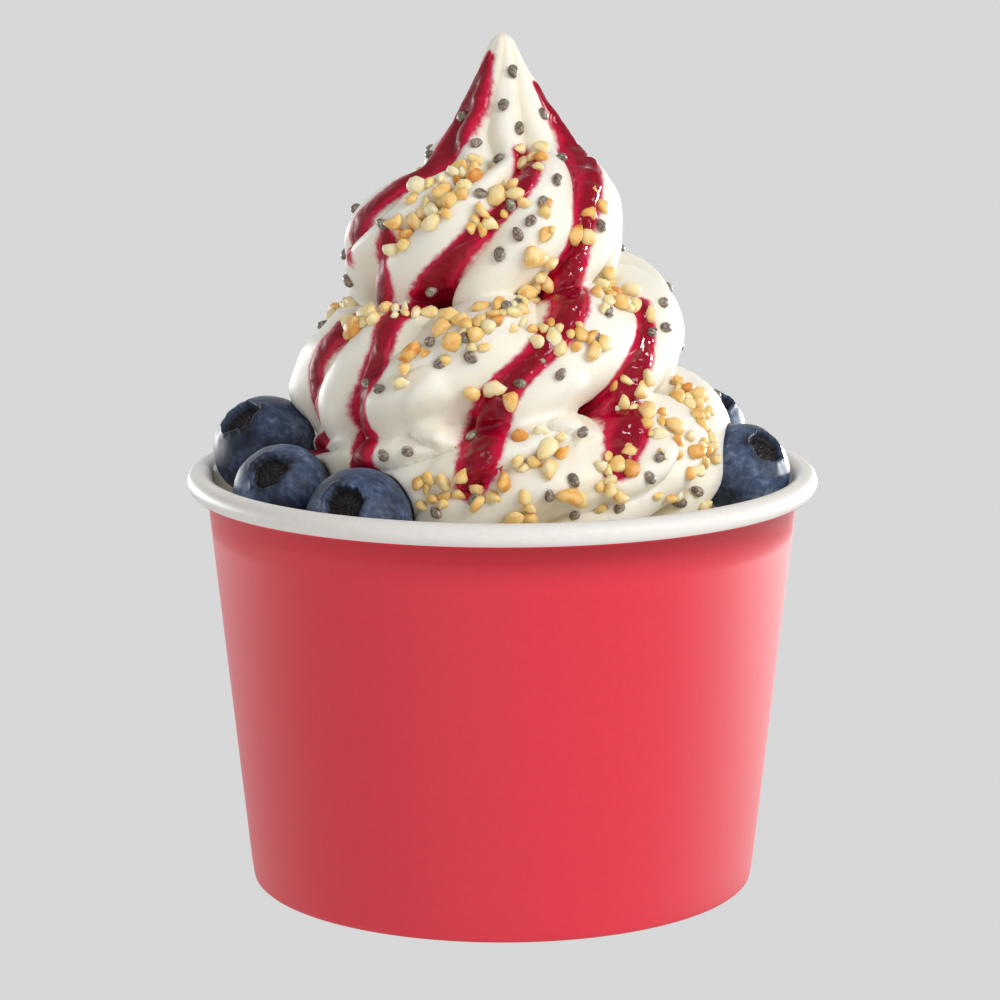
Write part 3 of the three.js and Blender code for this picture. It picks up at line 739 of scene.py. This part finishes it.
def make_cup():
    """The tub: one profile of wall, rolled rim and recessed floor, spun round the axis."""

    def wall(z):
        return FOOT_RADIUS + (WALL_TOP_RADIUS - FOOT_RADIUS) * z / (CUP_HEIGHT - RIM_ROLL)

    roll_radius = RIM_RADIUS - RIM_ROLL
    roll_height = CUP_HEIGHT - RIM_ROLL
    under_rim = roll_height - RIM_TO_WALL
    inside_skirt = FOOT_RADIUS - SKIRT
    floor_top = FLOOR_LIFT + BOARD
    # From under the floor, down inside the skirt and round the foot,
    profile = [(0, FLOOR_LIFT), (inside_skirt - FLOOR_CORNER, FLOOR_LIFT)]
    profile.append((inside_skirt, FLOOR_LIFT - FLOOR_CORNER))
    profile += [(inside_skirt, SKIRT_CORNER), (inside_skirt + SKIRT_CORNER, 0)]
    for degrees in (-90, -60, -30, 0):
        angle = math.radians(degrees)
        across = FOOT_RADIUS - FOOT_ROUNDING * (1 - math.cos(angle))
        profile.append((across, FOOT_ROUNDING * (1 + math.sin(angle))))
    # up the outside of the wall and over the rim,
    profile += [(wall(z), z) for z in (*WALL_ROWS, under_rim)]
    for degrees in range(-105, 181, 15):
        angle = math.radians(degrees)
        across = roll_radius + RIM_ROLL * math.cos(angle)
        profile.append((across, roll_height + RIM_ROLL * math.sin(angle)))
    # and down the inside of the wall to the floor's upper side.
    profile += [(wall(z) - BOARD, z) for z in (under_rim - 0.8, 54, 30, floor_top + 0.6)]
    profile += [(wall(FLOOR_LIFT) - BOARD - 0.7, floor_top), (0, floor_top)]
    bm = bmesh.new()
    ring = [bm.verts.new((r, 0, z)) for r, z in profile]
    edges = [bm.edges.new(pair) for pair in zip(ring, ring[1:])]
    bmesh.ops.spin(
        bm,
        geom=ring + edges,
        cent=(0, 0, 0),
        axis=(0, 0, 1),
        dvec=(0, 0, 0),
        angle=TAU,
        steps=CUP_STEPS,
        use_merge=True,
    )
    bmesh.ops.remove_doubles(bm, verts=bm.verts, dist=SAME_POINT)
    bmesh.ops.recalc_face_normals(bm, faces=bm.faces)
    for face in bm.faces:
        middle = face.calc_center_median()
        across = math.hypot(middle.x, middle.y)
        outer_wall = 0.1 < middle.z < under_rim and across > wall(middle.z) - BOARD / 2
        face.material_index = 0 if outer_wall else 1
    for vert in bm.verts:
        across = math.hypot(vert.co.x, vert.co.y)
        if across < wall(vert.co.z) - ON_WALL or not 1 <= vert.co.z <= under_rim + ON_WALL:
            continue
        past_seam = (math.atan2(vert.co.y, vert.co.x) - SEAM_AZIMUTH) % TAU
        lift = SEAM_STEP * max(0, 1 - past_seam / SEAM_FADE)
        vert.co.x *= 1 + lift / across
        vert.co.y *= 1 + lift / across
    cup = finished(
        "board_cup",
        bm,
        board("red_printed_board", "#DF283B", 0.5, 0.6),
        board("white_coated_board", "#EAE6E0", 0.45, 0.35),
    )
    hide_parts("paper_cup")


def make_swirl():
    """The yogurt: a grid wrapped round the axis, with its columns along the flutes and its rows
    from the tip down to the fill, then down the wall and in under the bottom."""
    bm = bmesh.new()
    stain = bm.verts.layers.float.new("stain")
    # How deep in a flute's valley each point lies; the yogurt's material paints shade there.
    valley = bm.verts.layers.float.new("valley")
    grid, column, row = grid_of_points(bm, SWIRL_COLUMNS, SWIRL_ROWS + 2)
    angles = np.arange(SWIRL_COLUMNS + 1) * TAU / SWIRL_COLUMNS
    lowest = FILL_HEIGHT - FILL_RADIUS * math.tan(CLIMB)
    down = (np.arange(SWIRL_ROWS + 1) / SWIRL_ROWS) ** ROW_CROWDING
    heights = np.tile(TIP_HEIGHT + (lowest - TIP_HEIGHT) * down, (SWIRL_COLUMNS + 1, 1))

    def azimuth_at(height, columns=slice(None)):
        return flute_azimuth(angles[columns, None] + 0 * height, height)

    heights = snap_to_creases(azimuth_at, heights)
    heights[-1] = heights[0]
    azimuth = azimuth_at(heights)
    points = swirl_point(azimuth, heights)
    across = np.hypot(points[..., 0], points[..., 1])
    sauce = sauce_at(azimuth, heights, across)
    hollow = 1 - np.abs(np.sin(FLUTES * angles[:, None] / 2)) + 0 * heights
    points = push_off_berries(points)
    foot = flute_azimuth(angles, np.full_like(angles, lowest))
    side = np.stack([np.cos(foot), np.sin(foot), 0 * foot], -1) * FILL_FOOT_RADIUS
    side = side + (0, 0, FILL_FOOT)
    middle = np.zeros_like(side) + (0, 0, FILL_FOOT)
    points = np.concatenate([points, side[:, None], middle[:, None]], 1)
    points[:, 0] = (0, 0, TIP_HEIGHT)
    spare = np.zeros((SWIRL_COLUMNS + 1, 2))  # for the two rows under the fill
    stains = np.concatenate([np.clip(0.5 + sauce / STAIN_WIDTH, 0, 1), spare], 1)[column, row]
    valleys = np.concatenate([hollow, spare], 1)[column, row]
    for vert, place, stained, valleyed in zip(grid, points[column, row], stains, valleys):
        vert.co = place
        vert[stain] = stained
        vert[valley] = valleyed
    bmesh.ops.remove_doubles(bm, verts=bm.verts, dist=SAME_POINT)
    bmesh.ops.recalc_face_normals(bm, faces=bm.faces)
    swirl = finished("yogurt_swirl", bm, soft_serve_yogurt())
    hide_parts("frozen_yogurt")


def noise_on(points, size, aside=0):
    """A noise whose lumps are this many millimetres across, at each of a grid of points."""
    start = Vector((aside, 0, 0))
    return np.array([[noise.noise(Vector(p) / size + start) for p in line] for line in points])


def make_sauce():
    """The sauce: for each run a thin strip that follows the yogurt, thickest along its middle, with
    its edges sunk just under the yogurt, so that unevenness leaves them ragged."""
    bm = bmesh.new()
    depth = bm.verts.layers.float.new("depth")
    gloss = bm.verts.layers.float.new("gloss")
    side = np.linspace(-SAUCE_OVER_SIDE, SAUCE_OVER_SIDE, SAUCE_COLUMNS + 1)
    for places in SAUCE_RUNS:
        top = places[0][0] + SAUCE_OVER_END
        bottom = places[-1][0] - SAUCE_OVER_END
        rows = int((top - bottom) / SAUCE_ROW)
        grid, column, row = grid_of_points(bm, SAUCE_COLUMNS, rows)
        heights = np.tile(np.linspace(top, bottom, rows + 1), (SAUCE_COLUMNS + 1, 1))

        def azimuth_at(height, columns=slice(None)):
            middle, width = run_path(places, height)
            across = np.maximum(swirl_reach(middle, height) * math.cos(CLIMB), 2.0)
            return middle + side[columns, None] * width / across

        heights = snap_to_creases(azimuth_at, heights)
        azimuth = azimuth_at(heights)
        out = np.hypot(side[:, None], past_ends(places, heights) / SAUCE_OVER_END)
        skin = swirl_point(azimuth, heights)
        lumps = noise_on(skin, 2.4)
        edge = noise_on(skin, 1.1, aside=9)
        body = 1 - (out * (1.04 + 0.2 * lumps + 0.2 * edge)) ** 2
        wet = ramp(np.cos(azimuth - WETTEST_AZIMUTH), -0.1, 0.8)
        thick = SAUCE_THICKNESS + SAUCE_WET_EXTRA * wet
        thick = thick * np.minimum(run_path(places, heights)[1] / 2, 1)  # thinner in narrow places
        proud = thick * body * (1 + (0.8 + 0.6 * wet) * lumps + 0.35 * edge)
        proud = np.clip(np.where(body > 0, proud, 0.6 * body), -SAUCE_SUNK, SAUCE_MOST)
        points = swirl_point(azimuth, heights, proud)[column, row]
        depths = np.clip(body, 0, 1)[column, row]
        for vert, place, deep, shiny in zip(grid, points, depths, wet[column, row]):
            vert.co = place
            vert[depth] = deep
            vert[gloss] = shiny
    bmesh.ops.recalc_face_normals(bm, faces=bm.faces)
    bmesh.ops.solidify(bm, geom=bm.faces[:], thickness=SAUCE_SHELL)
    sauce = finished("berry_sauce", bm, berry_coulis())
    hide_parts("frozen_yogurt")


def lie_of(azimuth, height):
    """A place on the swirl and the way out of it."""
    a = np.array([azimuth, azimuth, azimuth])
    h = np.array([height, height, height + TOPPING_STEP])
    across = math.hypot(*swirl_point(a[:1], h[:1])[0][:2])
    a[1] += TOPPING_STEP / max(across, 4)
    here, beside, above = (Vector(p) for p in swirl_point(a, h))
    return here, (beside - here).cross(above - here).normalized()


def is_free(centre, radius):
    """Is a small piece clear of the blueberries, and of the cup's wall where it is below the rim?"""
    for berry, size, _ in BLUEBERRIES:
        if (centre - Vector(berry)).length < size + radius + TOPPING_GAP:
            return False
    above_rim = centre.z > CUP_HEIGHT + radius
    return above_rim or math.hypot(centre.x, centre.y) < TOPPING_RADIUS - radius


def pose_on(centre, outward, tilt, dice):
    """The pose of a small piece that lies on the swirl, turned any way round and a little tilted."""
    turned = Quaternion((0, 0, 1), TAU * dice.random()) @ Quaternion((1, 0, 0), dice.gauss(0, tilt))
    stood = Matrix.Translation(centre) @ outward.to_track_quat("Z", "Y").to_matrix().to_4x4()
    return stood @ turned.to_matrix().to_4x4()


def add_nut(bm, tone, centre, outward, size, dice):
    """One peanut chunk: a lumpy ball with flat cuts, tapered and bent."""
    cuts = [
        (Vector([dice.gauss(0, 1) for _ in range(3)]).normalized(), dice.uniform(0.45, 0.85))
        for _ in range(NUT_CUTS)
    ]
    taper = dice.uniform(-0.4, 0.4)
    bend = dice.uniform(-0.5, 0.5)
    pose = pose_on(centre, outward, 0.35, dice)
    own_tone = min(max(dice.gauss(0.14, 0.17), -0.25), 0.55)
    chunk = bmesh.ops.create_icosphere(bm, subdivisions=2, radius=1)["verts"]
    for vert in chunk:
        lump = 0.24 * noise.noise(vert.co * 1.2 + centre) + 0.09 * noise.noise(vert.co * 3.1 + centre)
        point = vert.co * (1 + lump)
        for facing, depth in cuts:
            point -= facing * max(0, point.dot(facing) - depth) * 0.8
        thick = 1 + taper * point.x
        aside = point.y * thick + bend * (point.x**2 - 0.4)
        vert.co = Vector((point.x * size.x, aside * size.y, point.z * thick * size.z))
        vert[tone] = own_tone
    bmesh.ops.transform(bm, matrix=pose, verts=chunk)


def make_nuts():
    """The chopped peanuts, heaped in their drifts. Gives where each lies and the room it takes."""
    dice = random.Random(11)
    bm = bmesh.new()
    tone = bm.verts.layers.float.new("tone")
    lying = []
    for start, high, end, low, count in NUT_DRIFTS:
        for i in range(count):
            for _ in range(NUT_TRIES):
                along = (i + dice.random()) / count
                azimuth = math.radians(start + (end - start) * along + dice.gauss(0, 2.6))
                height = high + (low - high) * along + dice.gauss(0, 1.3)
                length = dice.triangular(*NUT_LENGTHS)
                place, outward = lie_of(azimuth, height)
                width = length * dice.uniform(0.55, 0.9)
                depth = length * dice.uniform(0.5, 0.8)
                size = Vector((length, width, depth))
                centre = place + outward * size.z * dice.uniform(0.25, 0.6)
                room = length * NUT_ROOM
                gaps = ((centre - other).length - room - reach for other, reach in lying)
                if any(gap < -NUT_OVERLAP for gap in gaps) or not is_free(centre, length):
                    continue
                lying.append((centre, room))
                add_nut(bm, tone, centre, outward, size, dice)
                break
    nuts = finished("chopped_nuts", bm, chopped_peanut())
    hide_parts("frozen_yogurt")
    return lying


def make_seeds(nuts):
    """The chia seeds: flattened ovals, each placed in front, and by golden-angle steps behind."""
    dice = random.Random(5)
    bm = bmesh.new()
    places = [(math.radians(azimuth), height) for azimuth, height in FRONT_SEEDS]
    for i in range(SEED_COUNT):
        down = ((i + 0.5) / SEED_COUNT) ** SEED_CROWDING
        azimuth = math.radians(GOLDEN_ANGLE * i + dice.gauss(0, 5))
        height = SEED_SPAN[0] + (SEED_SPAN[1] - SEED_SPAN[0]) * down + dice.gauss(0, 0.8)
        if math.sin(azimuth) > 0.1:
            places.append((azimuth, height))
    for i, (azimuth, height) in enumerate(places):
        place, outward = lie_of(azimuth, height)
        length, width, depth = (s * dice.uniform(0.88, 1.12) for s in SEED_SIZE)
        centre = place + outward * depth * 0.45
        off_nuts = all((centre - other).length > reach + SEED_OFF_NUTS for other, reach in nuts)
        if not (off_nuts or i < len(FRONT_SEEDS)) or not is_free(centre, length):
            continue
        pose = pose_on(centre, outward, 0.25, dice)
        seed = bmesh.ops.create_icosphere(bm, subdivisions=2, radius=1)["verts"]
        for vert in seed:
            # One end is narrower than the other.
            pinch = 1 - 0.16 * vert.co.x + 0.16 * noise.noise(vert.co * 1.6 + centre)
            x, y, z = vert.co
            vert.co = Vector((x * length, y * width * pinch, z * depth * pinch))
        bmesh.ops.transform(bm, matrix=pose, verts=seed)
    seeds = finished("chia_seeds", bm, chia_seed())
    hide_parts("frozen_yogurt")


def make_blueberry(number, centre, radius, crown, skin):
    """A slightly flattened ball with its crown on top: a dark pit with steep walls, whose rim
    is torn and a little raised. It is then turned so that the crown points its own way."""
    bm = bmesh.new()
    crowned = bm.verts.layers.float.new("crown")
    bmesh.ops.create_uvsphere(bm, u_segments=BERRY_COLUMNS, v_segments=BERRY_ROWS, radius=1)
    for vert in bm.verts:
        polar = math.pi * (math.acos(max(-1, min(1, vert.co.z))) / math.pi) ** BERRY_ROW_CROWDING
        around = math.atan2(vert.co.y, vert.co.x)
        at = Vector((math.cos(around), math.sin(around), number * 3))
        torn = noise.noise(at * 1.5) + 0.5 * noise.noise(at * 5) + 0.2 * math.cos(5 * around + number)
        inside = 1 - float(ramp(polar, PIT - 0.07, PIT))
        rim = float(bump(polar, PIT + 0.04, 0.05)) * (0.6 + torn)
        polar *= 1 + 0.2 * torn * float(bump(polar, PIT, 0.3))
        across = math.sin(polar)
        grit = noise.noise(vert.co * 9 + Vector((0, 0, number)))
        far = 1 + BERRY_LUMPS * noise.noise(vert.co * 1.7 + at)
        stalk_end = 0.05 * float(bump(polar, math.pi, 0.16))
        pit = (PIT_DEPTH + 0.04 * grit) * inside
        level = BERRY_FLATNESS * math.cos(polar) * far + CROWN_RISE * rim - pit + stalk_end
        vert.co = Vector((math.cos(around) * across * far, math.sin(around) * across * far, level))
        vert[crowned] = max(inside, min(1, 0.7 * rim))
    azimuth, height = (math.radians(x) for x in crown)
    pose = Matrix.Translation(centre) @ Matrix.Rotation(azimuth, 4, "Z")
    pose = pose @ Matrix.Rotation(math.pi / 2 - height, 4, "Y") @ Matrix.Scale(radius, 4)
    bmesh.ops.transform(bm, matrix=pose, verts=bm.verts)
    berry = finished(f"berry_{number}", bm, skin)
    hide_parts(f"blueberry_{number}")


make_cup()
make_swirl()
make_sauce()
make_seeds(make_nuts())
skin = blueberry_skin()
for number, (centre, radius, crown) in enumerate(BLUEBERRIES, 1):
    make_blueberry(number, centre, radius, crown, skin)


# ---- Studio ----


def make_floor():
    """A pale floor, far larger than the view. It glows evenly and is hardly lit by the lamps, so
    that it looks like a plain lit-through table, with no shadow on it."""
    bm = bmesh.new()
    bmesh.ops.create_circle(bm, cap_ends=True, segments=96, radius=FLOOR_RADIUS)
    material, tree, shader = new_material("pale_floor")
    place = add(tree, "ShaderNodeTexCoord")
    clouds = pattern(tree, place, 250, 1.0)
    inputs = {
        "Roughness": shift(tree, clouds, 0.0, 1.0, 0.78, 0.82),
        "Base Color": paint("#060606"),
        "Specular IOR Level": 0.0,
        "Emission Color": paint("#D9D9D9"),
        "Emission Strength": 0.985,
    }
    feed(shader, inputs)
    floor = drawn("floor", bm, material)


LIT_POINT = Vector((0, 0, 0.07))  # in metres, a little above the cup's rim


def make_light(name, place, size, power, gloss_only=False):
    """A softbox at a place in metres that faces the lit point. One that is there for its
    reflection in the glossy surfaces alone casts no light of its own."""
    lamp = bpy.data.lights.new(name, "AREA")
    lamp.shape = "RECTANGLE"
    lamp.size, lamp.size_y = size
    lamp.energy = power
    box = bpy.data.objects.new(name, lamp)
    box.location = place
    box.visible_diffuse = not gloss_only
    towards = LIT_POINT - Vector(place)
    box.rotation_euler = towards.to_track_quat("-Z", "Y").to_euler()
    bpy.context.scene.collection.objects.link(box)


make_floor()
make_light("key_softbox", (1.0, -0.6, 0.6), (0.45, 0.5), 6.8)
make_light("left_strip", (-0.62, 0.5, 0.06), (0.7, 0.1), 5, gloss_only=True)
make_light("right_strip", (0.62, 0.5, 0.06), (0.8, 0.1), 17, gloss_only=True)
make_light("front_fill", (-0.6, -1.4, 0.15), (1.0, 0.4), 3.3)
make_light("back_fill", (-0.3, 1.4, 0.5), (1.2, 0.8), 4)
make_light("glint", (0.6, -0.75, 0.75), (0.2, 0.25), 3.2)

world = bpy.data.worlds.new("studio")
world.use_nodes = True
world.node_tree.nodes["Background"].inputs["Color"].default_value = paint("#E6E6E6")
world.node_tree.nodes["Background"].inputs["Strength"].default_value = 0.5
bpy.context.scene.world = world
bpy.context.scene.view_settings.view_transform = "Standard"

lens = bpy.data.cameras.new("camera")
lens.sensor_width = 36
lens.lens = 134.1
camera = bpy.data.objects.new("camera", lens)
camera.location = (-0.00035, -0.560, 0.1656)
camera.rotation_euler = (math.radians(79.18), 0, 0)
bpy.context.scene.collection.objects.link(camera)
bpy.context.scene.camera = camera

bpy.context.view_layer.update()
